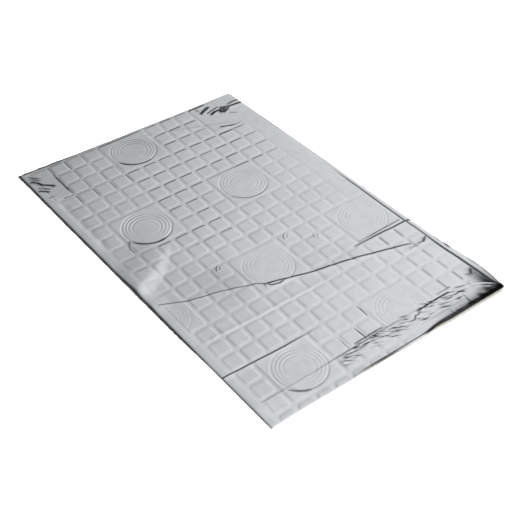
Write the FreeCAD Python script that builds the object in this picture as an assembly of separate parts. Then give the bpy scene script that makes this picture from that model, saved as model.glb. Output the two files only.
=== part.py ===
"""Foil-faced vibration-damping mat: an embossed aluminium foil on a black butyl core, on its release liner.

Units are millimetres. The mat lies flat with its foil up: +X runs along its long side, +Y across it towards
the bare foil margin, and +Z up. The origin is at the middle of the underside.
"""

import FreeCAD, Part
import os

from FreeCAD import Vector

# The sheet as it is sold
sheet_length = 750.0
sheet_width = 470.0
foil_thickness = 0.1
core_thickness = 2.75
liner_thickness = 0.15

# The bare foil margin past the core, along one long side: how far the foil reaches at each place along X.
# The cut isn't parallel to the core, so the margin is widest near one end.
margin_reach = (
    (-0.5, 3.0),
    (-0.08, 8.0),
    (0.27, 11.0),
    (0.41, 18.0),
    (0.46, 14.0),
    (0.5, 6.0),
)
margin_drop = 2.2  # the margin sags from the core's edge to just above the liner
margin_slope_run = 2.5  # the width of that sag

widest_margin = max(reach for _, reach in margin_reach)
near_y = -(sheet_width + widest_margin) / 2
far_y = near_y + sheet_width
core_z = liner_thickness
foil_z = core_z + core_thickness


def slab(corners, low, thickness):
    """A flat plate with this outline, a list of (x, y), from height low upwards."""
    points = [Vector(x, y, low) for x, y in corners]
    face = Part.Face(Part.makePolygon(points + points[:1]))
    return face.extrude(Vector(0, 0, thickness))


def web_outline():
    """The outline that the foil and the liner were cut to: straight on three sides, uneven past the core."""
    far_side = [(place * sheet_length, far_y + reach) for place, reach in margin_reach]
    near_side = [(-sheet_length / 2, near_y), (sheet_length / 2, near_y)]
    return near_side + far_side[::-1]


def release_liner():
    """Siliconised paper under the whole web."""
    return slab(web_outline(), 0, liner_thickness)


def damping_core():
    """The butyl sheet, whose own tack is the glue."""
    x = sheet_length / 2
    return slab([(-x, near_y), (x, near_y), (x, far_y), (-x, far_y)], core_z, core_thickness)


def foil_facing():
    """The foil: flat on the core, then down over its far edge, then out over the liner."""
    step_y = far_y + margin_slope_run
    end_y = far_y + widest_margin
    upper_line = [
        (near_y, foil_z + foil_thickness),
        (far_y, foil_z + foil_thickness),
        (step_y, foil_z + foil_thickness - margin_drop),
        (end_y, foil_z + foil_thickness - margin_drop),
    ]
    lower_line = [(y, z - foil_thickness) for y, z in upper_line]
    start_x = -sheet_length / 2
    profile = [Vector(start_x, y, z) for y, z in upper_line + lower_line[::-1]]
    face = Part.Face(Part.makePolygon(profile + profile[:1]))
    web = face.extrude(Vector(sheet_length, 0, 0))
    return web.common(slab(web_outline(), 0, foil_z + foil_thickness))


os.makedirs("parts", exist_ok=True)
for make in (release_liner, damping_core, foil_facing):
    solid = make()
    print(make.__name__, "valid", solid.isValid(), "volume mm3", round(solid.Volume, 1), solid.BoundBox)
    solid.exportStep(f"parts/{make.__name__}.step")
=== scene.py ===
"""Foil-faced vibration-damping mat: its looks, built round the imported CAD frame.

Blender works in metres. The sheet's own shape is worked out in millimetres, in the same frame as the CAD:
+X runs along the long side, +Y across it towards the bare foil margin, and +Z up.

A pair of places is a stretch along X or Y: a change starts at the first and is full at the second.
A noise is given as its strength, its size in millimetres and its seed.
"""

import math
from collections import namedtuple

import bpy
import numpy as np
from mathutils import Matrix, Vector

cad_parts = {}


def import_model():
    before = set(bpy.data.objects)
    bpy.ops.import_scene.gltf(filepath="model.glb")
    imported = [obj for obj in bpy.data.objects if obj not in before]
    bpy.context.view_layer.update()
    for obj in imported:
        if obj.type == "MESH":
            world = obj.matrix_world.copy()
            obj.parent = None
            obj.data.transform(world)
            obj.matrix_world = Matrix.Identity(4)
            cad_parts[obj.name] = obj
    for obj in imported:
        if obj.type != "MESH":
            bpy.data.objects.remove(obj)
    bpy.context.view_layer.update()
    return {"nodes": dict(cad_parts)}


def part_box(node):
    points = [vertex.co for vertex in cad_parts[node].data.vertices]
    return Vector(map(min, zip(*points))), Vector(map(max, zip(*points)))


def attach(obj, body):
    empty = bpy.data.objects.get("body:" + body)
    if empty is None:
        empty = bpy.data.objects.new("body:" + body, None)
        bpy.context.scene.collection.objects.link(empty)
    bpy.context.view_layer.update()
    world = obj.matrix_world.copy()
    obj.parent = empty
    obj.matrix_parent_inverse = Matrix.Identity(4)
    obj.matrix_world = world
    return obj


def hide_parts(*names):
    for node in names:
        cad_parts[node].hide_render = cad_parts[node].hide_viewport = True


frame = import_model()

MM = 0.001


def node_box(node):
    """A CAD node's lowest and highest corners, in millimetres."""
    low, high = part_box(node)
    return np.array(low) / MM, np.array(high) / MM


(LEFT, NEAR, CORE_BOTTOM), (RIGHT, FAR, _) = node_box("damping_core")
LINER_TOP = node_box("release_liner")[1][2]
FOIL_TOP = node_box("foil_facing")[1][2]


# ---- small tools

def smooth(t):
    """0 before 0, 1 after 1, and a soft step in between."""
    t = np.clip(t, 0.0, 1.0)
    return t * t * (3.0 - 2.0 * t)


def ease(value, start, end):
    """0 at the start, 1 at the end, and a soft step in between. The start may be the higher of the two."""
    return smooth((value - start) / (end - start))


def bell(t):
    """1 at 0, and fading softly either way."""
    return np.exp(-t * t)


def hump(value, middle, half):
    return bell((value - middle) / half)


def flat_hump(value, middle, half, gain=1.5):
    """A hump whose top is cut off flat at 1."""
    return np.minimum(gain * hump(value, middle, half), 1.0)


class Profile:
    """A value that changes along one axis: a base, soft steps (how much, from where, to where) and humps
    (how much, middle, half width)."""

    def __init__(self, base, steps=(), humps=()):
        self.base, self.steps, self.humps = base, steps, humps

    def __call__(self, place):
        total = self.base
        for much, start, end in self.steps:
            total = total + much * ease(place, start, end)
        for much, middle, half in self.humps:
            total = total + much * hump(place, middle, half)
        return total


def spot(x, y, middle_x, middle_y, half_x, half_y):
    """A soft round spot."""
    return bell(np.hypot((x - middle_x) / half_x, (y - middle_y) / half_y))


def noise(x, y, size, seed):
    """Smooth random values from -1 to 1, with features about this many millimetres across."""
    cells = 256
    middle = 100.0  # in cells, so that no place is off the lattice
    lattice = np.random.default_rng(seed).uniform(-1.0, 1.0, (cells, cells))
    u, v = x / size + middle, y / size + middle
    i, j = np.floor(u).astype(int), np.floor(v).astype(int)
    a, b = smooth(u - i), smooth(v - j)
    i, j = i % cells, j % cells
    i2, j2 = (i + 1) % cells, (j + 1) % cells
    low = lattice[j, i] * (1 - a) + lattice[j, i2] * a
    high = lattice[j2, i] * (1 - a) + lattice[j2, i2] * a
    return low * (1 - b) + high * b


def noises(x, y, *terms):
    """The sum of some noises, each given as its strength, size and seed."""
    return sum(strength * noise(x, y, size, seed) for strength, size, seed in terms)


def far_outline(x):
    """How far in Y the foil and the liner reach at x, read from the CAD liner's own outline."""
    corners = sorted({
        (round(v.co.x / MM, 3), round(v.co.y / MM, 3))
        for v in frame["nodes"]["release_liner"].data.vertices
        if v.co.y / MM > FAR
    })
    places, reaches = zip(*corners)
    return np.interp(x, places, reaches)


# ---- the sheet's shape

# Driving sizes of the looks, in millimetres
FOIL_STEP = 1.0  # the foil's mesh spacing
SOFT_STEP = 5.0  # the core's and the liner's
PITCH = 34.84  # one embossed cell
LINE_X, LINE_Y = -267.6, 121.0  # one crossing of the embossed grooves
SKEW = -0.0124  # the pattern isn't quite square to the cut: X shift for each millimetre of Y
GROOVE = 9.0  # the width between two pillows
GROOVE_RAMP = 5.2  # the width of a pillow's sloping side
GROOVE_DEPTH = 0.56
PILLOW_CORNER = 4.0
TILE_CELLS = 3  # a medallion takes the place of this many cells each way
STRIP_LINE = LINE_Y - 10 * PITCH  # the last groove, with a plain strip between it and the near edge

# The right side turns up: a narrow lip, then a curl that widens towards the far corner. Its cut runs
# short of the CAD sheet's right side by right_trim.
right_rise = Profile(0.0, ((2.4, -110.0, -40.0), (5.9, 40.0, 100.0)))
curl_width = Profile(6.0, ((10.0, 50.0, 120.0), (16.0, 130.0, 220.0)))
right_trim = Profile(0.0, ((2.0, NEAR - 20.0, NEAR + 70.0), (-2.0, 75.0, 115.0)))
CORNER_RISE = 1.0  # of the far corner as a whole


def lift(x, y):
    """How high the sheet is lifted off the floor."""
    across = np.clip(1.0 - (RIGHT - right_trim(y) - x) / curl_width(y), 0.0, 1.0)
    return right_rise(y) * across ** 2 + CORNER_RISE * ease(x, 200.0, 340.0) * ease(y, 80.0, 226.0)


def rounded_square(dx, dy, half, corner):
    """Distance from a rounded square's outline, negative inside it."""
    qx = np.abs(dx) - (half - corner)
    qy = np.abs(dy) - (half - corner)
    outside = np.hypot(np.maximum(qx, 0), np.maximum(qy, 0))
    return outside + np.minimum(np.maximum(qx, qy), 0) - corner


# One ring of a medallion: the radius of its bottom, the widths of its inner and outer sides, and its depth
Ring = namedtuple("Ring", "radius inner outer depth")
RINGS = (
    Ring(44.0, 4.4, 2.0, 0.62),
    Ring(38.0, 3.0, 1.8, 0.42),
    Ring(32.0, 2.8, 1.8, 0.38),
    Ring(25.5, 3.2, 1.8, 0.32),
)
# how deeply each medallion is pressed, by its tile's column and row, where it isn't 1
MEDALLION_DEPTH = {(0, 0): 0.3, (0, 2): 1.3, (2, 3): 1.3, (4, 0): 0.6, (4, 2): 0.75, (4, 4): 0.3,
                   (6, 1): 0.7, (6, 3): 0.95, (0, 4): 0.15}
DEEP_SIDE = math.radians(-25.0)  # every medallion is pressed deepest on this side
DEEP_ARC = math.radians(50.0)  # and its outer ring is painted dark (painted shade) this far either way
ARC_FADE = 0.25  # how softly the painted dark arc ends, as a cosine
ARC_OUT, ARC_HALF = 0.8, 2.2  # the arc's middle past the bottom of the ring, and its half width
ARC_PRESS = (0.8, 1.3)  # how deeply a medallion is pressed where its arc starts to show and where it is full
RING_EVEN, RING_TURN = 0.8, 0.4  # a ring's depth all round, and how much that changes towards the deep side
MEDALLION_SHARE = 0.85  # a medallion's mean depth
DARKEST = 0.95  # the darkest painted shade of the pattern's own sides and creases

# How much of the pattern is gone: along the far side, in the fainter stretch before it, where the sheet
# curls up, in the far left corner and in the plain strip
WORN, FAINT, CURLED, CRUMPLED, PLAIN = 0.85, 0.45, 0.9, 0.6, 0.6
PATTERN_STRENGTH = 0.93


def medallion_tile(column, row):
    """True where this tile holds a medallion: every other column, in staggered rows."""
    stagger = np.where(column % 4 == 0, 0, 1)
    return (column % 2 == 0) & (row % 2 == stagger)


def emboss_strength(x, y):
    """The pattern is worn flat along the far side, in the plain strip and where the sheet curls up."""
    worn = np.maximum(ease(y, 176.0, 198.0), FAINT * ease(y, 146.0, 166.0)) * (1.0 - ease(x, 35.0, 55.0))
    keep = (1.0 - WORN * worn) * (1.0 - CURLED * ease(x, 340.0, 350.0) * ease(y, 20.0, 60.0))
    keep = keep * (1.0 - CRUMPLED * spot(x, y, -330.0, 190.0, 40.0, 45.0))
    keep = keep * (1.0 - PLAIN * ease(y, STRIP_LINE + 9.0, STRIP_LINE - 3.0))
    return (PATTERN_STRENGTH + noises(x, y, (0.18, 45.0, 11), (0.12, 19.0, 12))) * keep


# How sharply the pillows' left sides, their near sides and the middles of the grooves are pressed, inside
# soft boxes: 1 is a crisp edge with painted shade on it and -1 an extra soft one
Press = namedtuple("Press", "x y left near middle")
PRESSES = tuple(Press(*row) for row in (
    ((-380, -150), (-84, 192), 0.7, 0.0, 0.0),
    ((-285, -215), (-84, 192), 0.25, 0.0, 0.0),
    ((-380, -238), (-200, -84), 0.0, 0.1, 0.8),
    ((-165, -12), (-88, -22), 0.9, 0.1, 0.0),
    ((-80, -12), (-158, -92), 0.65, 0.0, 0.0),
    ((150, 335), (118, 215), -0.9, 0.0, 0.0),
    ((150, 335), (145, 215), 0.0, 0.42, 0.0),
    ((150, 345), (-10, 118), -0.7, -0.3, 0.0),
    ((-200, -50), (-235, -160), -0.2, -0.2, 0.0),
    ((-50, 160), (-235, -100), -0.6, 0.1, 0.0),
))
PRESS_FADE = 14.0  # the width of a press box's soft edges
PRESS_LEAST, PRESS_SPREAD = 0.3, 0.95  # each cell takes a random share of its press
SHARPEST = 0.62  # how much narrower the crispest sloping sides are
SHARP_DEEPER = 0.2  # and how much deeper
WIDER_ON_X = 0.3  # how much wider the other sloping sides across X are
DIAGONAL_FADE = 4.0  # how softly one side of a pillow becomes the next at its corners
SIDE_POWER, SIDE_HALF = 1.5, 0.68  # how fast a side's painted shade grows with crispness, and how far across it

# The thin creases along the middles of grooves, shallow and painted dark (painted shade)
CREASE_MIDDLE, CREASE_HALF = 0.3, 1.0  # from the groove's line
CREASE_ENDS = (1.0, 5.0)  # from the crossings
CREASE_ACROSS = 0.35  # how faint the creases across X are
CREASE_LEAST, CREASE_SPREAD, CREASE_POWER = 0.12, 1.35, 1.5  # each cell takes a random share
CREASE_DEPTH, CREASE_DARK = 0.12, 1.15


def press(x, y):
    """The three presses at each place."""
    left, near, middle = np.zeros_like(x), np.zeros_like(x), np.zeros_like(x)
    for box in PRESSES:
        inside = 1.0
        for place, (start, end) in ((x, box.x), (y, box.y)):
            inside = inside * smooth((place - start) / PRESS_FADE + 0.5)
            inside = inside * smooth((end - place) / PRESS_FADE + 0.5)
        left += box.left * inside
        near += box.near * inside
        middle += box.middle * inside
    return left, near, middle


# Where each place is in the pattern: its cell and its tile, and their middles
Layout = namedtuple("Layout", "column row cell_x cell_y tile_column tile_row tile_x tile_y medallion")


def pattern_layout(x, y):
    column, row = np.floor((x - LINE_X) / PITCH), np.floor((LINE_Y - y) / PITCH)
    tile = TILE_CELLS * PITCH
    tile_column = np.floor((column + TILE_CELLS) / TILE_CELLS)
    tile_row = np.floor((row + TILE_CELLS) / TILE_CELLS)
    return Layout(
        column, row, LINE_X + (column + 0.5) * PITCH, LINE_Y - (row + 0.5) * PITCH,
        tile_column, tile_row, LINE_X + (tile_column - 0.5) * tile, LINE_Y - (tile_row - 0.5) * tile,
        medallion_tile(tile_column, tile_row),
    )


def cell_spread(at, seed):
    """One random value from 0 to 1 for each cell."""
    cells = 64
    table = np.random.default_rng(seed).uniform(0.0, 1.0, (cells, cells))
    return table[(at.row % cells).astype(int), (at.column % cells).astype(int)]


def pillows(x, y, at, left, near):
    """How far the grooves round the pillows are pressed down, and the painted shade on the crispest sides.
    """
    cell = rounded_square(x - at.cell_x, y - at.cell_y, (PITCH - GROOVE) / 2, PILLOW_CORNER)
    plate = rounded_square(x - at.tile_x, y - at.tile_y, (TILE_CELLS * PITCH - GROOVE) / 2, PILLOW_CORNER)
    distance = np.where(at.medallion, plate, cell)
    distance = np.where(y < STRIP_LINE, y - (STRIP_LINE - GROOVE / 2), distance)

    # the sides that face left and near are crisper in some cells than in others
    dx = np.where(at.medallion, (x - at.tile_x) / TILE_CELLS, x - at.cell_x)
    dy = np.where(at.medallion, (y - at.tile_y) / TILE_CELLS, y - at.cell_y)
    on_left = smooth((-dx - np.abs(dy)) / DIAGONAL_FADE + 0.5)
    on_near = smooth((-dy - np.abs(dx)) / DIAGONAL_FADE + 0.5)
    across_x = smooth((np.abs(dx) - np.abs(dy)) / DIAGONAL_FADE + 0.5)
    left = left * (PRESS_LEAST + PRESS_SPREAD * cell_spread(at, seed=71))
    near = near * (PRESS_LEAST + PRESS_SPREAD * cell_spread(at, seed=72))
    crisp = np.clip(on_left * left + on_near * near, -1.0, 1.0)
    ramp = GROOVE_RAMP * (1.0 - SHARPEST * crisp) * (1.0 + WIDER_ON_X * across_x * (1.0 - np.abs(crisp)))
    rise = (distance - GROOVE_RAMP / 6) / ramp + 0.5
    sharp = np.maximum(crisp, 0.0)
    depth = -GROOVE_DEPTH * (1.0 + SHARP_DEEPER * sharp) * smooth(rise)
    return depth, DARKEST * sharp ** SIDE_POWER * hump(rise, 0.5, SIDE_HALF)


def groove_creases(x, y, at, middle):
    """How strong the thin crease along the middle of a groove is, at each place."""
    dx, dy = np.abs(x - at.cell_x), np.abs(y - at.cell_y)
    to_line = PITCH / 2 - np.maximum(dx, dy)
    from_end = PITCH / 2 - np.minimum(dx, dy)
    crease = hump(to_line, CREASE_MIDDLE, CREASE_HALF) * ease(from_end, *CREASE_ENDS)
    crease = crease * np.where(at.medallion, 0.0, 1.0) * np.clip(middle, 0.0, 1.0)
    share = CREASE_LEAST + CREASE_SPREAD * cell_spread(at, seed=73) ** CREASE_POWER
    return crease * np.where(dy > dx, 1.0, CREASE_ACROSS) * share


def medallions(x, y, at):
    """How far the medallions' rings are pressed down, and the painted shade on their deepest stretches."""
    radius = np.hypot(x - at.tile_x, y - at.tile_y)
    turn = np.cos(np.arctan2(y - at.tile_y, x - at.tile_x) - DEEP_SIDE)
    rings = np.zeros_like(x)
    for ring in RINGS:
        down = smooth((radius - ring.radius + ring.inner) / ring.inner)
        up = 1.0 - smooth((radius - ring.radius) / ring.outer)
        towards = RING_TURN if ring is RINGS[0] else -RING_TURN
        rings -= ring.depth * down * up * (RING_EVEN + towards * turn)
    pressed = np.ones_like(x)
    for (column, row), share in MEDALLION_DEPTH.items():
        pressed = np.where((at.tile_column == column) & (at.tile_row == row), share, pressed)
    arc = flat_hump(radius, RINGS[0].radius + ARC_OUT, ARC_HALF)
    arc = arc * smooth((turn - math.cos(DEEP_ARC)) / ARC_FADE)
    on_plate = at.medallion & (y > STRIP_LINE)
    uneven = MEDALLION_SHARE + noises(x, y, (0.35, 28.0, 13))
    depth = np.where(on_plate, rings * pressed * uneven, 0.0)
    return depth, np.where(on_plate, DARKEST * arc * ease(pressed, *ARC_PRESS), 0.0)


def embossing(x, y):
    """Raised square pillows with pressed grooves between them, and medallions of plain rings.
    Also the painted shade on the sharpest sides, creases and medallion arcs (0 to 1)."""
    x = x - SKEW * y
    at = pattern_layout(x, y)
    left, near, middle = press(x, y)
    depth, dark = pillows(x, y, at, left, near)
    crease = groove_creases(x, y, at, middle)
    ring_depth, ring_dark = medallions(x, y, at)
    depth = depth - CREASE_DEPTH * crease + ring_depth
    # painted shade: the crisp sides, the creases and the medallions' deep arcs are darkened in colour
    dark = np.maximum(np.maximum(dark, np.clip(CREASE_DARK * crease, 0.0, DARKEST)), ring_dark)
    strength = emboss_strength(x, y)
    return depth * strength, dark * strength


# A fold follows its points, each (x, y, strength), along the middle of its wall. The foil rises gently on
# the left of the way along it and falls away to the right over the wall's width. A dark fold's wall is
# painted dark: painted shade in the fold.
Fold = namedtuple("Fold", "points rise wall gentle dark")
FOLDS = tuple(Fold(*row) for row in (
    # the long crease across the sheet, with the loop where it splits
    (((199, 189, 0.5), (185, 145, 0.9), (168, 81, 1), (154, 13, 1), (141, -32, 1.1), (131, -66, 0.9)),
     1.5, 3.0, 15.0, 0.95),
    (((131, -66, 0.8), (122, -79, 0.7), (102, -134, 0.6), (90, -187, 0.6), (71, -230, 0.5)),
     1.1, 2.4, 13.0, 0.6),
    (((142, -36, 0.4), (144, -48, 0.9), (140, -60, 1), (131, -68, 0.4)), 0.9, 2.4, 4.0, 0.85),
    # the two short creases that run off the far side
    (((148, 240, 1), (148, 200, 1), (147, 160, 0.8), (148, 113, 0.5)), 1.2, 3.0, 8.0, 0.85),
    (((140, 219, 0.6), (141, 170, 0.9), (143, 127, 0.4)), 0.9, 2.4, 6.0, 0.6),
    # creases along the right-hand cells
    (((260, -78, 0.2), (261, -130, 0.8), (259, -190, 1), (258, -243, 1)), 0.9, 2.2, 9.0, 0.75),
    (((317, 162, 0.8), (318, 137, 0.6)), 0.8, 2.2, 4.0, 0.55),
    (((325, 152, 0.8), (325, 131, 1), (326, 106, 1), (327, 86, 0.9)), 1.0, 2.6, 5.0, 0.95),
    (((331, 86, 0.7), (334, 79, 1), (333, 74, 0.9), (338, 69, 1), (338, 60, 0.6)), 0.8, 2.0, 4.0, 0.65),
    (((325, 60, 0.4), (324, 10, 0.7), (326, -40, 1), (327, -75, 0.7), (329, -130, 0.25),
          (330, -225, 0.35)),
     0.7, 2.2, 5.0, 0.55),
    (((351, 172, 0.4), (352, 120, 1), (352, 70, 0.3)), 0.5, 4.0, 6.0, 0.2),
    (((344, 168, 0.4), (356, 166, 0.8), (366, 165, 1)), 0.5, 2.4, 3.0, 0.6),
    (((348, 128, 0.3), (366, 125, 0.7)), 0.4, 2.4, 3.0, 0.4),
    (((262, 16, 0.5), (272, 16, 1), (284, 15, 0.6)), 0.6, 2.0, 3.0, 0.6),
    (((298, -20, 0.5), (310, -20, 1), (321, -20, 0.8)), 0.6, 2.0, 3.0, 0.75),
    (((298, -55, 0.3), (312, -55, 0.7), (321, -55, 0.5)), 0.5, 2.0, 3.0, 0.45),
    (((320, 14, 0.6), (320, -12, 1), (321, -40, 0.6)), 0.6, 2.2, 4.0, 0.8),
    # the far left corner
    (((-333, 232, 1), (-334, 216, 1), (-335, 198, 1.1), (-340, 184, 1)), 1.7, 5.0, 8.0, 1.0),
    (((-345, 229, 0.8), (-345, 216, 0.9), (-343, 203, 0.6)), 1.2, 4.0, 5.0, 0.75),
    (((-332, 198, 0.6), (-328, 190, 0.9), (-324, 182, 0.9)), 1.0, 3.4, 4.0, 0.7),
    (((-324, 181, 0.8), (-328, 176, 1), (-335, 176, 1.1), (-336, 166, 1.1), (-332, 155, 0.8)),
     1.2, 5.0, 5.0, 1.0),
    (((-346, 179, 0.6), (-344, 166, 1), (-340, 152, 0.9)), 0.9, 2.6, 4.0, 0.95),
    (((-357, 163, 0.7), (-352, 152, 1), (-346, 140, 0.9)), 1.4, 6.0, 5.0, 0.85),
    (((-369, 159, 0.7), (-368, 141, 1), (-369, 129, 0.9)), 1.1, 3.6, 4.0, 0.8),
    (((-275, 186, 0.15), (-275, 172, 0.4), (-277, 161, 0.9), (-281, 152, 1), (-284, 145, 0.7)),
     1.1, 3.4, 6.0, 1.0),
    (((-308, 198, 0.6), (-314, 190, 0.7)), 0.6, 3.0, 5.0, 0.45),
    (((-281, 184, 0.4), (-305, 125, 0.8), (-333, 57, 0.7), (-347, 10, 0.4)), 0.35, 4.5, 9.0, 0.1),
    (((-264, 176, 0.35), (-264, 162, 0.15), (-264, 151, 1), (-264, 128, 1)), 0.7, 3.2, 6.0, 0.7),
    # the near left corner
    (((-309, -210, 0.7), (-312, -210, 0.9), (-319, -218, 1), (-325, -225, 1), (-334, -229, 1),
          (-342, -236, 0.9)),
     1.4, 4.2, 6.0, 1.0),
    (((-306, -220, 0.6), (-312, -226, 0.9), (-319, -233, 0.6)), 1.0, 3.2, 4.0, 0.7),
    (((-300, -226, 0.7), (-305, -231, 1), (-310, -236, 1)), 1.2, 3.6, 4.0, 1.0),
    (((-338, -221, 0.4), (-345, -229, 0.8), (-351, -234, 0.5)), 0.9, 3.4, 4.0, 0.55),
    (((-345, -220, 0.4), (-352, -228, 0.9), (-360, -233, 0.5)), 0.9, 3.4, 4.0, 0.55),
    (((-272, -193, 0.35), (-292, -193.5, 0.9), (-310, -193.5, 1), (-330, -193.5, 0.8), (-345, -193, 0.3),
          (-364, -193, 0.2)), 0.7, 2.3, 4.0, 1.0),
    (((-266, -194, 0.6), (-267, -210, 0.9)), 0.6, 2.4, 5.0, 0.5),
    (((-282, -222, 0.4), (-283, -231, 0.8)), 0.6, 2.4, 5.0, 0.45),
    # the near right medallion's deepest stretch
    (((336, -180, 0.5), (345, -171, 1), (351, -161, 1), (353, -155, 0.6)), 0.5, 2.2, 4.0, 0.75),
    # a small hook by a medallion
    (((-64, -193, 0.6), (-74, -194, 1), (-84, -191, 0.7), (-91, -185, 0.8)), 0.6, 1.8, 4.0, 0.75),
    # the far right corner's arcs, and small puckers along the far side
    (((331, 186, 0.4), (338, 203, 1), (347, 215, 1), (357, 225, 0.6)), 1.0, 3.4, 5.0, 0.0),
    (((337, 178, 0.3), (345, 199, 0.8), (355, 214, 1), (362, 221, 0.5)), 0.9, 3.0, 5.0, 0.0),
    (((200, 224, 0.5), (204, 217, 1), (208, 212, 1), (206, 203, 0.6)), 0.9, 2.6, 4.0, 0.75),
    (((209, 205, 0.3), (208, 192, 0.8), (209, 182, 0.3)), 0.5, 3.0, 4.0, 0.35),
    (((306, 224, 0.6), (310, 219, 1), (316, 215, 1), (313, 208, 0.6)), 0.9, 2.6, 4.0, 0.75),
    (((318, 222, 0.6), (318, 208, 0.7)), 0.5, 3.0, 4.0, 0.4),
    (((229, 238.4, 0.5), (236, 238.0, 1), (243, 237.4, 0.5)), 0.6, 2.6, 2.0, 1.0),
    (((207, 237.6, 0.4), (213, 237.2, 1), (219, 236.6, 0.4)), 0.4, 2.2, 2.0, 0.6),
    (((283, 240.5, 0.4), (296, 241.0, 1), (306, 241.0, 0.4)), 0.4, 2.0, 2.0, 0.55),
    (((314, 241.5, 0.5), (329, 241.0, 1), (344, 238.5, 0.7), (356, 235.5, 0.4)), 0.5, 2.0, 2.0, 0.7),
    # the vertical ridge that catches the light
    (((184, -205, 0.5), (186, -120, 1), (185, -20, 1), (185, 42, 0.5)), 0.75, 4.2, 10.0, 0.0),
    # three small puckers
    (((49, -104, 0.6), (52, -109, 1), (57, -111, 0.7)), 0.7, 1.8, 2.0, 0.6),
    (((54, -102, 0.6), (58, -105, 1), (57, -109, 0.6)), 0.6, 1.8, 2.0, 0.4),
    (((50, 36, 0.6), (53, 31, 1), (58, 29, 0.7)), 0.6, 1.8, 2.0, 0.4),
    (((55, 39, 0.5), (59, 36, 1), (59, 31, 0.5)), 0.5, 1.8, 2.0, 0.25),
    (((78, 78, 0.5), (82, 73, 1), (88, 72, 0.6)), 0.4, 1.8, 2.0, 0.25),
    (((84, 82, 0.5), (88, 78, 1), (93, 76, 0.5)), 0.4, 1.8, 2.0, 0.2),
))

# How a fold's line wanders, how far past its sides it is worked out, and how its wall is painted dark
# (painted shade)
FOLD_WANDER = ((0.45, 16.0, 31), (0.15, 5.0, 32))
FOLD_REACH = 8.0
FOLD_DARK_HALF = 0.68  # of the wall's width
FOLD_DARK_GAIN = 1.25  # for each step of strength

# The dent by the near side: a long slope that faces the light
DENT = ((14, -240, 1.5), (0, -212, 1.4), (-7, -190, 1.0), (-36, -154, 0.45))
DENT_RISE, DENT_WIDTH, DENT_GENTLE = 2.6, 24.0, 60.0
DENT_LEAST = 0.2  # the least share of its width, where it is weakest
dent_share = Profile(0.85, ((0.15, NEAR, NEAR + 14.0),))  # it is a little lower at the near side

# Arcs on the far right corner that are left out of the painted shade, so that they stay bright
UNSHADED_ARCS = (
    ((330, 184, 0.6), (337, 202, 1), (346, 216, 1), (356, 225, 0.8)),
    ((339, 190, 0.4), (346, 203, 1), (356, 215, 0.8)),
)

# Patches of painted shade on the foil: their middle, their half widths and how strong their painted shade is
Patch = namedtuple("Patch", "x y half_x half_y dull")
PATCHES = tuple(Patch(*row) for row in (
    (88, -125, 55, 55, 0.14),
    (-70, -180, 45, 45, 0.06),
    (-302, 0, 22, 26, 0.09),
    (-112, -149, 22, 26, 0.07),
    (-310, -190, 60, 60, 0.05),
    (-320, -30, 60, 45, 0.08),
    (-368, -110, 24, 60, 0.15),
    (300, -150, 40, 60, 0.04),
    (-58, -228, 26, 16, 0.09),
    (110, -215, 40, 25, 0.06),
    (150, 60, 50, 60, 0.05),
    (334, 222, 24, 14, 0.82),
    (355, 215, 14, 24, 0.64),
    (360, 165, 9, 40, 0.34),
    (362, 120, 7, 30, 0.22),
    (-332, 185, 7, 8, 0.95),
    (-360, 139, 5, 4, 0.5),
    (-350, -227, 12, 7, 0.3),
    (309, 222, 6, 8, 0.4),
    (204, 216, 5, 6, 0.4),
    (206, 184, 4, 10, 0.2),
))

# The crinkled band beside the curl: short random folds, their walls painted dark (painted shade)
BAND_X, BAND_Y = (323.0, 347.0), (-84.0, 182.0)
BAND_FOLDS = 112
BAND_SEED = 5
BAND_LEAN, BAND_HALF, BAND_BEND = (52.0, 88.0), (4.0, 11.0), (-1.5, 1.5)  # degrees from X, then millimetres
BAND_RISE, BAND_WALL, BAND_GENTLE = (0.3, 1.0), (1.5, 2.6), (2.5, 5.0)
BAND_DARK, BAND_DARK_POWER = (0.1, 1.0), 1.6
BAND_END = 0.3  # the strength at a fold's ends


def band_folds():
    """The many short creases where the sheet was bent up along its right side."""
    draw = np.random.default_rng(BAND_SEED)
    made = []
    for k in range(BAND_FOLDS):
        x = draw.uniform(*BAND_X)
        y = BAND_Y[0] + (k + draw.uniform(0.0, 1.0)) / BAND_FOLDS * (BAND_Y[1] - BAND_Y[0])
        angle = math.radians(draw.uniform(*BAND_LEAN))
        half = draw.uniform(*BAND_HALF)
        dx, dy = half * math.cos(angle), half * math.sin(angle)
        bend = draw.uniform(*BAND_BEND)
        points = ((x + dx, y + dy, BAND_END), (x + bend, y, 1.0), (x - dx, y - dy, BAND_END))
        rise, wall, gentle = draw.uniform(*BAND_RISE), draw.uniform(*BAND_WALL), draw.uniform(*BAND_GENTLE)
        made.append(Fold(points, rise, wall, gentle, draw.uniform(*BAND_DARK) ** BAND_DARK_POWER))
    return tuple(made)


def along_line(points, x, y, fade=3.0):
    """For each place, the signed distance from a line of points (right of the way along it is positive)
    and the strength there, which fades out this far past both ends."""
    best = np.full(x.shape, np.inf)
    side = np.zeros_like(x)
    strength = np.zeros_like(x)
    for (ax, ay, a_strength), (bx, by, b_strength) in zip(points, points[1:]):
        dx, dy = bx - ax, by - ay
        length = math.hypot(dx, dy)
        t = ((x - ax) * dx + (y - ay) * dy) / length ** 2
        held = np.clip(t, 0.0, 1.0)
        away = np.hypot(x - ax - held * dx, y - ay - held * dy)
        nearer = away < best
        right = ((x - ax) * dy - (y - ay) * dx) / length
        past = np.abs(t - held) * length
        here = (a_strength + (b_strength - a_strength) * held) * bell(past / fade)
        best = np.where(nearer, away, best)
        side = np.where(nearer, right, side)
        strength = np.where(nearer, here, strength)
    return side, strength


def near_line(points, x, y, reach):
    """The index of the places within reach of a line's box."""
    px, py = [p[0] for p in points], [p[1] for p in points]
    inside = (x > min(px) - reach) & (x < max(px) + reach) & (y > min(py) - reach) & (y < max(py) + reach)
    return np.nonzero(inside)


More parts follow.
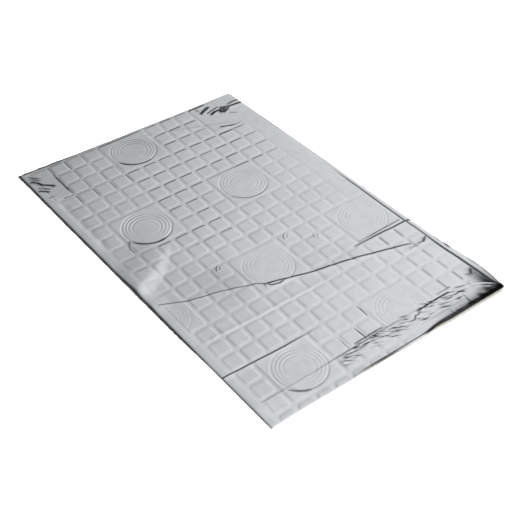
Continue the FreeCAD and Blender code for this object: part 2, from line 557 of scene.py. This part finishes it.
def add_fold(height, dark, fold, x, y):
    """Raises the foil along one fold and paints shade on its wall."""
    here = near_line(fold.points, x, y, fold.gentle + fold.wall + FOLD_REACH)
    side, strength = along_line(fold.points, x[here], y[here])
    side = side + noises(x[here], y[here], *FOLD_WANDER)
    from_wall = side + fold.wall / 2
    up = np.clip(1.0 + from_wall / fold.gentle, 0.0, 1.0) ** 2
    down = np.clip(1.0 - from_wall / fold.wall, 0.0, 1.0)
    height[here] += fold.rise * strength * np.where(from_wall < 0, up, down)
    across = flat_hump(side, 0.0, FOLD_DARK_HALF * fold.wall)
    shade = fold.dark * np.clip(FOLD_DARK_GAIN * strength, 0.0, 1.0) * across
    dark[here] = np.maximum(dark[here], shade)


def add_dent(height, x, y):
    here = near_line(DENT, x, y, DENT_GENTLE + DENT_WIDTH)
    side, strength = along_line(DENT, x[here], y[here], fade=14.0)
    side = side + noises(x[here], y[here], (1.8, 34.0, 33))
    up = smooth(1.0 + side / DENT_GENTLE)
    down = 1.0 - smooth(side / (DENT_WIDTH * (DENT_LEAST + (1.0 - DENT_LEAST) * strength)))
    height[here] += DENT_RISE * strength * np.where(side < 0, up, down) * dent_share(y[here])


def painted_shade_patches(x, y):
    """How much painted shade the foil's patches carry (0 to 1), less along the unshaded arcs, with a faint
    random darkening.
    """
    patch_shade = np.zeros_like(x)
    for patch in PATCHES:
        patch_shade += patch.dull * spot(x, y, patch.x, patch.y, patch.half_x, patch.half_y)
    for points in UNSHADED_ARCS:
        here = near_line(points, x, y, reach=8.0)
        side, strength = along_line(points, x[here], y[here])
        patch_shade[here] *= 1.0 - np.clip(strength, 0.0, 1.0) * hump(side, middle=0.0, half=2.0)
    return np.clip(patch_shade + noises(x, y, (0.03, 60.0, 61)), 0.0, 1.0)


# ---- the sheet's sides

# The bare foil margin past the core sags, from a step that wanders. Its profiles are along X.
MARGIN_SLOPE = (-1.4, 3.8)  # where the sag starts and ends, from the step
MARGIN_SOFT = 0.25  # how much of the sag is eased, and not straight
MARGIN_EDGE = 4.0  # the width over which the margin starts, and its outer side turns down
MARGIN_CALM = 0.75  # how much of the foil's relief is gone in it
MARGIN_X = (-70.0, 10.0)  # where the sag goes from faint to full
margin_drop = Profile(0.48, ((1.12, *MARGIN_X),))
margin_turned = Profile(0.9, ((-0.75, *MARGIN_X),))  # how far its outer side turns down
step_out = Profile(-0.4, ((1.4, 130.0, 180.0), (1.7, 235.0, 325.0)), ((-1.2, 225.0, 30.0),))
# the painted dark line (painted shade) along the step: its half width, as a share of the slope's, and how
# dark it is
step_line_half = Profile(0.36, ((0.12, 190.0, 230.0),))
step_line_dark = Profile(0.86, ((0.13, 190.0, 250.0),))

# The sheet's waves, and the sides that stand up, lie low and turn down, and the painted shade on the rims
SHEET_WAVES = ((0.45, 110.0, 21), (0.16, 38.0, 22), (0.03, 12.0, 23))
near_rise = Profile(0.45, humps=((1.3, 44.0, 40.0),))
trough = Profile(0.0, ((1.0, -262.0, -242.0), (-1.0, -110.0, -50.0)))  # a shallow one along the near side
LOW_CORNER = 1.0  # how much lower the near right corner lies
NEAR_ROUND, NEAR_ROUND_WIDTH, LEFT_ROUND_WIDTH = 0.35, 4.0, 3.4
left_round = Profile(0.3, ((0.4, 40.0, -50.0), (-0.3, 160.0, 190.0)))
left_rim = Profile(0.0, ((0.62, 60.0, -60.0), (0.36, -120.0, -200.0)))
near_rim = Profile(0.4, ((-0.4, 130.0, 200.0),))
LEFT_RIM_GAIN, NEAR_RIM_WIDTH = 1.8, 1.5

# The shadow on the turned-up right side, along Y. Its reach is in shares of the curl's width.
shadow_reach = Profile(0.56, humps=((0.25, 84.0, 24.0),))
shadow_dark = Profile(0.0, ((1.0, 50.0, 65.0),), ((0.7, -26.0, 32.0),))
STREAKS, LONG_STREAKS = (0.16, 5.0, 46), (0.2, 9.0, 47)  # the second are four times as long along X
SHADOW_START, SHADOW_DARKEST = 1.4, 0.995


def margin_sag(x, past):
    """How far the bare margin drops, this far past its step."""
    start, end = MARGIN_SLOPE
    t = np.clip((past - start) / (end - start), 0.0, 1.0)
    return margin_drop(x) * ((1.0 - MARGIN_SOFT) * t + MARGIN_SOFT * smooth(t))


def step_line(x, past):
    """How dark the painted shade along the step is."""
    start, end = MARGIN_SLOPE
    line = flat_hump(past, (start + end) / 2, step_line_half(x) * (end - start), gain=1.6)
    return line * ease(x, *MARGIN_X) * step_line_dark(x)


def right_shadow(x, y):
    """How dark the turned-up right side is."""
    streaks = noises(x, y, STREAKS) + noises(0.25 * x, y, LONG_STREAKS)
    reach = (shadow_reach(y) + streaks * ease(y, 90.0, 150.0)) * curl_width(y)
    return SHADOW_DARKEST * smooth(SHADOW_START - (RIGHT - right_trim(y) - x) / reach) * shadow_dark(y)


def add_sides(height, dark, x, y):
    """Shapes the near and left sides and the near right corner, and paints shade on the rims."""
    height += near_rise(x) * ease(y, NEAR + 34.0, NEAR) * (1.0 + noises(x, y, (0.7, 24.0, 24)))
    height -= trough(x) * (0.55 + noises(x, y, (0.3, 15.0, 26))) * hump(y, NEAR + 21.0, 6.0)
    height -= LOW_CORNER * ease(x, 325.0, 375.0) * ease(y, -40.0, -100.0)
    height -= NEAR_ROUND * np.maximum(1.0 - (y - NEAR) / NEAR_ROUND_WIDTH, 0.0) ** 2
    on_left = np.maximum(1.0 - (x - LEFT) / LEFT_ROUND_WIDTH, 0.0)
    height -= left_round(y) * on_left ** 2
    np.maximum(dark, left_rim(y) * np.minimum(LEFT_RIM_GAIN * on_left, 1.0), out=dark)
    on_near = np.sqrt(np.maximum(1.0 - (y - NEAR) / NEAR_RIM_WIDTH, 0.0))
    rim = near_rim(x) * (0.8 + noises(x, 0 * y, (0.3, 40.0, 25)))
    np.maximum(dark, rim * on_near, out=dark)


def foil_relief(x, y):
    """The foil's height over its plain level, and the painted shade on its sharp sides, folds and rims (0 to
    1).
    """
    height, dark = embossing(x, y)
    for fold in FOLDS + band_folds():
        add_fold(height, dark, fold, x, y)
    add_dent(height, x, y)
    height += noises(x, y, *SHEET_WAVES)
    add_sides(height, dark, x, y)
    return height, dark


def foil_height(x, y):
    """The foil's height at each place, and the painted shade there (0 to 1)."""
    relief, dark = foil_relief(x, y)
    past = y - FAR - step_out(x) - noises(x, 0 * x, (0.3, 30.0, 45))
    beyond = ease(y, FAR, FAR + MARGIN_EDGE)
    outer = np.maximum(1.0 - (far_outline(x) - y) / MARGIN_EDGE, 0.0) * beyond
    height = FOIL_TOP + relief * (1.0 - MARGIN_CALM * beyond) + lift(x, y)
    height = height - margin_sag(x, past) - margin_turned(x) * outer ** 2
    return height, np.maximum(np.maximum(dark, step_line(x, past)), right_shadow(x, y))


# ---- meshes

def add_object(name, data):
    made = bpy.data.objects.new(name, data)
    bpy.context.scene.collection.objects.link(made)
    return made


def mesh_object(name, points, faces, values=None):
    """A smooth-shaded object from points in millimetres and four-cornered faces."""
    mesh = bpy.data.meshes.new(name)
    mesh.vertices.add(len(points))
    mesh.vertices.foreach_set("co", (points * MM).astype(np.float32).ravel())
    mesh.loops.add(faces.size)
    mesh.loops.foreach_set("vertex_index", faces.astype(np.int32).ravel())
    mesh.polygons.add(len(faces))
    mesh.polygons.foreach_set("loop_start", np.arange(0, faces.size, 4, dtype=np.int32))
    mesh.polygons.foreach_set("use_smooth", np.ones(len(faces), bool))
    for key, numbers in (values or {}).items():
        layer = mesh.attributes.new(key, "FLOAT", "POINT")
        layer.data.foreach_set("value", numbers.astype(np.float32).ravel())
    mesh.update(calc_edges=True)
    mesh.validate()
    return add_object(name, mesh)


def grid_faces(rows, columns, first=0, flip=False):
    """Faces of a grid of points that are numbered row by row from first."""
    j, i = np.mgrid[0:rows - 1, 0:columns - 1]
    a = first + j * columns + i
    faces = np.stack([a, a + 1, a + columns + 1, a + columns], -1).reshape(-1, 4)
    return faces[:, ::-1] if flip else faces


TRIM_SPREAD = 40.0  # the width over which the grid is shifted


def sheet_grid(step, margin_rows):
    """Places over the whole cut sheet: even rows over the core, then rows that follow the margin's outline.
    Near the right side they are shifted to where the sheet is cut."""
    x = np.linspace(LEFT, RIGHT, int(round((RIGHT - LEFT) / step)) + 1)
    y = np.linspace(NEAR, FAR, int(round((FAR - NEAR) / step)) + 1)
    gx, gy = np.meshgrid(x, y)
    if margin_rows:
        share = np.arange(1, margin_rows + 1)[:, None] / margin_rows
        outer = FAR + share * (far_outline(x) - FAR)[None, :]
        gx = np.vstack([gx, np.repeat(x[None, :], margin_rows, 0)])
        gy = np.vstack([gy, outer])
    return gx - right_trim(gy) * ease(gx, RIGHT - TRIM_SPREAD, RIGHT), gy


# How far the foil turns down over each side of the core
near_wrap = Profile(0.15, ((1.6, 170.0, 280.0),))
right_wrap = Profile(2.4, ((-2.1, 54.0, 88.0),), ((-1.68, -26.0, 32.0), (2.9, 34.0, 22.0)))
LEFT_WRAP = 0.3
WRAP_RINGS = ((1.0, 0.10), (0.45, 0.16))  # outermost first: each ring's share of the depth, and how far out
OVER_LINER = 0.05  # the turned-down foil stays this far over the liner
CORNER_IN_X, CORNER_IN_Y = 1.2, 2.8  # how far the far right corner is rounded inwards


def wrap_depths(gx, gy):
    """How far the foil turns down over the core's near, right and left sides."""
    x, y = gx[0], gy[:, -1]
    near = near_wrap(x) + noises(x, 0 * x, (0.1, 22.0, 41))
    right = right_wrap(y) + noises(0 * y, y, (0.2, 20.0, 42))
    return near, right, LEFT_WRAP + noises(0 * y, y, (0.1, 20.0, 43))


def foil_piece(gx, gy, z, dark):
    corner_x, corner_y = ease(gx, RIGHT - 16.0, RIGHT), ease(gy, FAR - 10.0, FAR + 4.0)
    gx, gy = gx - CORNER_IN_X * corner_x * corner_y, gy - CORNER_IN_Y * corner_x ** 2 * corner_y
    near, right, left = wrap_depths(gx, gy)
    # the turned-down rim: more rings of points on three sides
    rings = len(WRAP_RINGS)
    gx, gy, z, dark = (np.pad(a, ((rings, 0), (rings, rings)), mode="edge") for a in (gx, gy, z, dark))
    near = np.pad(near, (rings, rings), mode="edge")
    right, left = (np.pad(a, (rings, 0), mode="edge") for a in (right, left))
    level = z.copy()
    for ring, (share, out) in enumerate(WRAP_RINGS):
        gy[ring, :] -= out
        gx[:, ring] -= out
        gx[:, -1 - ring] += out
        z[ring, :] = level[ring, :] - share * near
        z[:, ring] = np.minimum(z[:, ring], level[:, ring] - share * left)
        z[:, -1 - ring] = np.minimum(z[:, -1 - ring], level[:, -1 - ring] - share * right)
    z = np.maximum(z, LINER_TOP + OVER_LINER)
    points = np.stack([gx, gy, z], -1).reshape(-1, 3)
    # painted shade: the dark sides, folds, rims, step line, curl shadow and patches, carried to the material
    # as the shade attribute
    values = {"shade": 1.0 - (1.0 - dark) * (1.0 - painted_shade_patches(gx, gy))}
    return mesh_object("foil_sheet", points, grid_faces(*gx.shape), values)


OOZE_FADE, LEAST_OOZE = 2.0, 0.03
near_ooze = Profile(2.8, ((-2.3, 120.0, 240.0),))
left_ooze = Profile(0.4, ((2.8, -80.0, -200.0),))


def ooze(x, y):
    """How far the squeezed-out core stands past each side, most at the near left corner."""
    out = np.maximum(hump(y, NEAR, OOZE_FADE) * near_ooze(x), hump(x, LEFT, OOZE_FADE) * left_ooze(y))
    return np.maximum(out, LEAST_OOZE)


WALL_ROUGH, ROW_SHIFT, HEIGHT_STRETCH = 0.3, 7, 9  # each row of a wall is rough in its own way


def slab_piece(name, gx, gy, low, high, bulge, walls):
    """A closed thin solid between two heights over a grid. Its walls have this many rows of points, and
    bulge outwards by the bulge at each place."""
    rows, columns = gx.shape
    top = np.stack([gx, gy, high], -1).reshape(-1, 3)
    bottom = np.stack([gx, gy, low], -1).reshape(-1, 3)
    ring = np.concatenate([
        np.arange(columns),
        np.arange(1, rows) * columns + columns - 1,
        (rows - 1) * columns + np.arange(columns - 2, -1, -1),
        np.arange(rows - 2, 0, -1) * columns,
    ])
    outward = np.sign(top[ring, :2] - top.mean(0)[:2])
    on_x_side = np.isin(ring % columns, (0, columns - 1))
    outward[~on_x_side, 0] = 0.0
    on_y_side = (ring < columns) | (ring >= (rows - 1) * columns)
    outward[~on_y_side, 1] = 0.0
    points = [bottom, top]
    faces = [grid_faces(rows, columns, flip=True), grid_faces(rows, columns, first=rows * columns)]
    previous, count = ring, 2 * rows * columns
    for wall in range(1, walls + 1):
        share = wall / (walls + 1)
        level = bottom[ring] + (top[ring] - bottom[ring]) * share
        out = bulge(level[:, 0], level[:, 1])
        swell = out * math.sin(math.pi * share) ** 0.5
        rough_x, rough_y = level[:, 0] + ROW_SHIFT * wall, level[:, 1] + level[:, 2] * HEIGHT_STRETCH
        rough = out * noises(rough_x, rough_y, (WALL_ROUGH, 6.0, 51 + wall))
        level[:, :2] += outward * (swell + rough)[:, None]
        now = count + np.arange(len(ring))
        faces.append(np.stack([previous, np.roll(previous, -1), np.roll(now, -1), now], -1))
        points.append(level)
        previous, count = now, count + len(ring)
    last = ring + rows * columns
    faces.append(np.stack([previous, np.roll(previous, -1), np.roll(last, -1), last], -1))
    return mesh_object(name, np.vstack(points), np.vstack(faces))


core_under = Profile(0.16, ((0.3, RIGHT - 20.0, RIGHT - 5.0),))  # from the core's rim up to the foil
CORE_GAP = 0.1  # from the core's hidden top to the lowest foil nearby
NEAR_RIM_GAP, RIGHT_RIM_GAP = 0.35, 0.75  # and how much more next to these rims
CORE_LEAST = 0.4  # the core's least thickness


def lowest_near(heights, reach):
    """The lowest height within reach rows and columns of each place."""
    for axis in (0, 1):
        beyond = [(reach, reach) if axis == a else (0, 0) for a in (0, 1)]
        heights = np.pad(heights, beyond, mode="edge")
        heights = np.lib.stride_tricks.sliding_window_view(heights, 2 * reach + 1, axis=axis).min(-1)
    return heights


def core_piece(foil_z):
    """The core's top follows the foil at the rim, and elsewhere the lowest foil round each place, so that it
    stays hidden."""
    gx, gy = sheet_grid(SOFT_STEP, margin_rows=0)
    step = int(round(SOFT_STEP / FOIL_STEP))
    foil_z = foil_z[:(gx.shape[0] - 1) * step + 1]
    high = foil_z[::step, ::step] - core_under(gx)
    inner = (slice(1, None), slice(1, -1))
    high[inner] = lowest_near(foil_z, step)[::step, ::step][inner] - CORE_GAP
    high[1] -= NEAR_RIM_GAP
    high[:, -2] -= RIGHT_RIM_GAP
    low = CORE_BOTTOM + lift(gx, gy)
    high = np.maximum(high, low + CORE_LEAST)
    return slab_piece("butyl_core", gx, gy, low, high, ooze, walls=3)


def liner_piece():
    gx, gy = sheet_grid(SOFT_STEP, margin_rows=4)
    low = lift(gx, gy)
    return slab_piece("release_paper", gx, gy, low, low + LINER_TOP, lambda x, y: 0.0 * x, walls=1)


# ---- materials

class Tree:
    """A node tree under construction."""

    def __init__(self, tree):
        self.nodes, self.links = tree.nodes, tree.links

    def node(self, kind, **settings):
        made = self.nodes.new(kind)
        for key, value in settings.items():
            setattr(made, key, value)
        return made

    def link(self, source, target):
        self.links.new(source, target)

    def remap(self, source, low, high, start=0.0, end=1.0, curve="LINEAR"):
        """From low to high while the source goes from start to end."""
        made = self.node("ShaderNodeMapRange", interpolation_type=curve)
        for name, value in (("From Min", start), ("From Max", end), ("To Min", low), ("To Max", high)):
            made.inputs[name].default_value = value
        self.link(source, made.inputs["Value"])
        return made.outputs["Result"]

    def combine(self, operation, first, second):
        made = self.node("ShaderNodeMath", operation=operation)
        for value, socket in zip((first, second), made.inputs):
            if isinstance(value, float):
                socket.default_value = value
            else:
                self.link(value, socket)
        return made.outputs[0]


class Material(Tree):
    """A node material under construction."""

    def __init__(self, name):
        self.data = bpy.data.materials.new(name)
        self.data.use_nodes = True
        super().__init__(self.data.node_tree)
        self.shader = self.nodes["Principled BSDF"]

    def noise(self, scale, detail, along_x=1.0):
        """Noise over the object's own coordinates, in metres. Below 1, along_x draws it out along X."""
        where = self.node("ShaderNodeTexCoord")
        mapping = self.node("ShaderNodeMapping")
        mapping.inputs["Scale"].default_value = (along_x, 1.0, 1.0)
        self.link(where.outputs["Object"], mapping.inputs["Vector"])
        made = self.node("ShaderNodeTexNoise")
        made.inputs["Scale"].default_value = scale
        made.inputs["Detail"].default_value = detail
        self.link(mapping.outputs["Vector"], made.inputs["Vector"])
        return made.outputs["Fac"]

    def mix(self, factor, first, second):
        made = self.node("ShaderNodeMix", data_type="RGBA")
        for value, socket in ((first, made.inputs[6]), (second, made.inputs[7])):
            if isinstance(value, tuple):
                socket.default_value = (*value, 1.0)
            else:
                self.link(value, socket)
        self.link(factor, made.inputs[0])
        return made.outputs[2]

    def bump(self, height, distance, strength, under=None):
        made = self.node("ShaderNodeBump")
        made.inputs["Distance"].default_value = distance
        made.inputs["Strength"].default_value = strength
        self.link(height, made.inputs["Height"])
        if under is not None:
            self.link(under, made.inputs["Normal"])
        return made.outputs["Normal"]

    def attribute(self, name):
        made = self.node("ShaderNodeAttribute", attribute_name=name)
        return made.outputs["Fac"]

    def into(self, socket, source):
        self.link(source, self.shader.inputs[socket])


FOIL_CLEAN, FOIL_DULL = (0.898, 0.907, 0.929), (0.858, 0.867, 0.888)
FOIL_MOTTLED, FOIL_STREAKED, PAINTED_SHADE_COLOUR = (0.768, 0.777, 0.800), (0.70, 0.71, 0.74), (0.010, 0.0105, 0.012)
BUTYL, BUTYL_DUSTY = (0.012, 0.012, 0.013), (0.04, 0.04, 0.042)
PAPER, PAPER_PALE = (0.58, 0.53, 0.43), (0.64, 0.59, 0.49)
FLOOR, FLOOR_PALE = (0.90, 0.90, 0.90), (0.92, 0.92, 0.92)


def foil_material():
    """Bright rolled aluminium: fine streaks along the web, faint dull patches, and painted shade in the
    creases, folds and rims.
    """
    m = Material("aluminium_foil")
    m.shader.inputs["Metallic"].default_value = 1.0
    patches = m.noise(9.0, 3.0)
    mottle = m.noise(70.0, 3.0)
    streaks = m.noise(420.0, 2.0, along_x=0.12)
    grain = m.noise(900.0, 2.0)
    tone = m.mix(m.remap(patches, 0.0, 1.0, 0.3, 0.7), FOIL_DULL, FOIL_CLEAN)
    tone = m.mix(m.remap(mottle, 0.0, 0.35, 0.40, 0.72), tone, FOIL_MOTTLED)
    tone = m.mix(m.remap(streaks, 0.0, 0.08, 0.35, 0.7), tone, FOIL_STREAKED)
    # painted shade: the shade attribute darkens the foil's colour towards near black
    tone = m.mix(m.attribute("shade"), tone, PAINTED_SHADE_COLOUR)
    m.into("Base Color", tone)
    dull = m.remap(mottle, -0.02, 0.04, 0.3, 0.7)
    m.into("Roughness", m.combine("ADD", m.remap(patches, 0.17, 0.23, 0.3, 0.7), dull))
    fine = m.bump(grain, 0.00002, 0.35)
    m.into("Normal", m.bump(streaks, 0.00002, 0.25, fine))
    return m.data


def butyl_material():
    """Matte black butyl, a little dusty, with a torn, uneven cut face."""
    m = Material("black_butyl")
    dust = m.noise(60.0, 4.0)
    lumps = m.noise(420.0, 4.0)
    m.into("Base Color", m.mix(m.remap(dust, 0.0, 1.0, 0.45, 0.75), BUTYL, BUTYL_DUSTY))
    m.into("Roughness", m.remap(lumps, 0.42, 0.68, 0.3, 0.7))
    m.into("Normal", m.bump(lumps, 0.0004, 0.6))
    return m.data


def paper_material():
    """Pale straw siliconised paper, with faint fibres."""
    m = Material("release_paper")
    m.shader.inputs["Coat Weight"].default_value = 0.15
    clouds = m.noise(30.0, 3.0)
    fibres = m.noise(700.0, 3.0, along_x=0.4)
    m.into("Base Color", m.mix(m.remap(clouds, 0.0, 1.0, 0.35, 0.65), PAPER, PAPER_PALE))
    m.into("Roughness", m.remap(fibres, 0.42, 0.6, 0.3, 0.7))
    m.into("Normal", m.bump(fibres, 0.00004, 0.5))
    return m.data


def floor_material():
    m = Material("pale_floor")
    m.shader.inputs["Roughness"].default_value = 0.9
    m.shader.inputs["Specular IOR Level"].default_value = 0.0
    clouds = m.noise(1.5, 2.0)
    m.into("Base Color", m.mix(m.remap(clouds, 0.0, 1.0), FLOOR, FLOOR_PALE))
    return m.data


# ---- the pieces

def place(piece, body, node, material, slot):
    """Gives a piece its material, and says which body it rides on and which CAD node it replaces."""
    piece.data.materials.append(material)
    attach(piece, body)
    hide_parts(node)


foil_x, foil_y = sheet_grid(FOIL_STEP, margin_rows=16)
foil_z, foil_painted_shade = foil_height(foil_x, foil_y)
foil = foil_piece(foil_x, foil_y, foil_z, foil_painted_shade)
place(foil, "mat", "foil_facing", foil_material(), "foil")
core = core_piece(foil_z)
place(core, "mat", "damping_core", butyl_material(), "butyl")
paper = liner_piece()
place(paper, "liner", "release_liner", paper_material(), "liner_paper")


# ---- studio

AZIMUTH, ELEVATION = 52.666, 40.554  # the photo's viewing angle, in degrees
DISTANCE = 1.75283
TARGET = Vector((0.07862, -0.03809, 0.003))


def camera():
    a, e = math.radians(AZIMUTH), math.radians(ELEVATION)
    back = Vector((math.sin(a) * math.cos(e), -math.cos(a) * math.cos(e), math.sin(e)))
    data = bpy.data.cameras.new("camera")
    data.lens = 73.126
    data.sensor_width = 36.0
    made = add_object("camera", data)
    made.location = TARGET + back * DISTANCE
    made.rotation_mode = "QUATERNION"
    made.rotation_quaternion = (-back).to_track_quat("-Z", "Y")
    bpy.context.scene.camera = made


FLOOR_PROFILE = (  # radii and heights, in metres
    (0.0, 0.0), (2.0, 0.0), (8.0, 0.0), (16.0, 0.0), (19.0, 0.5), (20.0, 1.5), (20.5, 4.5),
)


def studio_floor():
    """A round, pale floor that curves up into a low pale wall, far away."""
    sides = 64
    angles = np.linspace(0, 2 * math.pi, sides, endpoint=False)
    points, faces = [], []
    for radius, height in FLOOR_PROFILE:
        points += [(radius * math.cos(angle), radius * math.sin(angle), height) for angle in angles]
    for k in range(len(FLOOR_PROFILE) - 1):
        for s in range(sides):
            t = (s + 1) % sides
            faces.append((k * sides + s, (k + 1) * sides + s, (k + 1) * sides + t, k * sides + t))
    mesh = bpy.data.meshes.new("studio_floor")
    mesh.from_pydata(points, [], faces)
    mesh.validate()
    floor = add_object("studio_floor", mesh)
    floor.data.materials.append(floor_material())
    floor.visible_glossy = False  # the foil mirrors the soft light and the dark cards, not the floor


VIEW_RIGHT = (0.606, 0.795, 0.0)  # level, to the right in the camera's view
DARK_SIDE = (-0.75, 0.66, 0.0)  # level, where the dark cards stand
CARD_TILT = (0.212, 0.278, 1.0)  # square to the cards' upper edge, which is higher to the left
# How bright the world is at places on its ramp, from 0 straight left of the view to 1 straight right
SIDE_LIGHT = (
    (0.0, 0.55), (0.12, 0.42), (0.20, 0.16), (0.28, 0.24), (0.34, 0.34), (0.39, 0.42), (0.45, 0.54),
    (0.51, 0.66), (0.54, 0.73), (0.60, 0.80), (0.72, 0.88), (1.0, 0.88),
)
CARD_TOP, CARD_SIDES, CARD_DARK = (0.12, 0.42), (0.70, 0.90), 0.98  # stretches of leaning, and how dark
WALL_FADE, WALL_LIGHT = (0.12, 0.36), 0.52  # a low pale wall all round, which fades upwards


def world():
    """Soft light all round, brightest to the right of the view, with dark cards low at the far left and a
    low pale wall behind everything."""
    made = bpy.data.worlds.new("studio")
    made.use_nodes = True
    tree = Tree(made.node_tree)
    background = tree.nodes["Background"]
    where = tree.node("ShaderNodeTexCoord")

    def lean(direction):
        dot = tree.node("ShaderNodeVectorMath", operation="DOT_PRODUCT")
        dot.inputs[1].default_value = direction
        tree.link(where.outputs["Generated"], dot.inputs[0])
        return dot.outputs["Value"]

    ramp = tree.node("ShaderNodeValToRGB")
    stops = ramp.color_ramp.elements
    while len(stops) > 1:
        stops.remove(stops[-1])
    for k, (on_ramp, level) in enumerate(SIDE_LIGHT):
        stop = stops[0] if k == 0 else stops.new(on_ramp)
        stop.position = on_ramp
        stop.color = (level, level, level, 1.0)
    tree.link(tree.remap(lean(VIEW_RIGHT), 0.0, 1.0, -1.0, 1.0), ramp.inputs["Fac"])

    low = tree.remap(lean(CARD_TILT), 1.0, 0.0, *CARD_TOP, "SMOOTHSTEP")
    behind = tree.remap(lean(DARK_SIDE), 0.0, CARD_DARK, *CARD_SIDES, "SMOOTHSTEP")
    keep = tree.combine("SUBTRACT", 1.0, tree.combine("MULTIPLY", low, behind))
    wall = tree.remap(lean((0.0, 0.0, 1.0)), WALL_LIGHT, 0.0, *WALL_FADE, "SMOOTHSTEP")
    level = tree.combine("MULTIPLY", tree.combine("MAXIMUM", ramp.outputs["Color"], wall), keep)
    tree.link(level, background.inputs["Strength"])
    background.inputs["Color"].default_value = (0.991, 0.994, 1.0, 1.0)
    bpy.context.scene.world = made


def key_light():
    """A very large soft light overhead. It lights the floor and the dark core, and stays out of the foil's
    mirror."""
    data = bpy.data.lights.new("overhead", "AREA")
    data.shape = "DISK"
    data.size = 4.0
    data.energy = 120.0
    light = add_object("overhead", data)
    light.location = (0.4, 0.2, 2.6)
    light.visible_glossy = False


camera()
studio_floor()
world()
key_light()
bpy.context.scene.view_settings.view_transform = "Standard"
